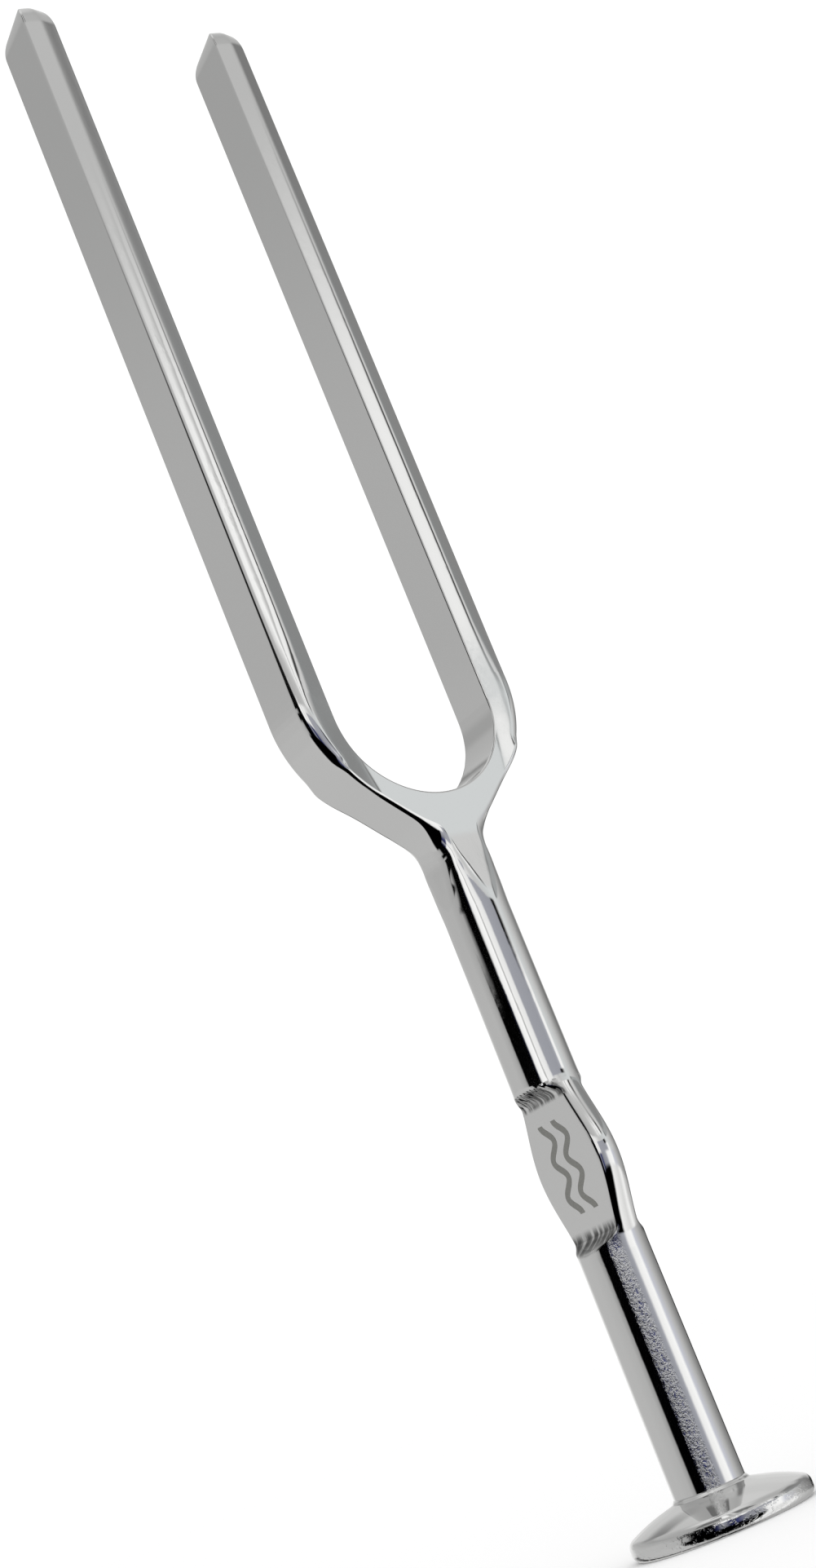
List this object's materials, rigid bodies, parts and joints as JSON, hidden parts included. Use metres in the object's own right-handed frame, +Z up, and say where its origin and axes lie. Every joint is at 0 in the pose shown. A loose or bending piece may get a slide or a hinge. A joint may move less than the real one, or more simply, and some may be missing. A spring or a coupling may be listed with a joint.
{
  "type": "tuning fork",
  "caption": "Plated steel tuning fork with two flat-sided tines, a round stem pinched into a flat pad, and a small conical foot disc.",
  "frame": {"origin": "centre of the foot's flat underside", "axes": "+Z up along the stem to the tines' tips, +X across the two tines, +Y from front to back"},
  "size_m": [0.0204, 0.0126, 0.12],
  "materials": {
    "plated_steel": "bright chrome plate over polished steel",
    "plated_foot": "bright chrome plate over turned steel"
  },
  "bodies": {
    "root": {"fork": "plated_steel", "foot": "plated_foot"}
  },
  "joints": []
}
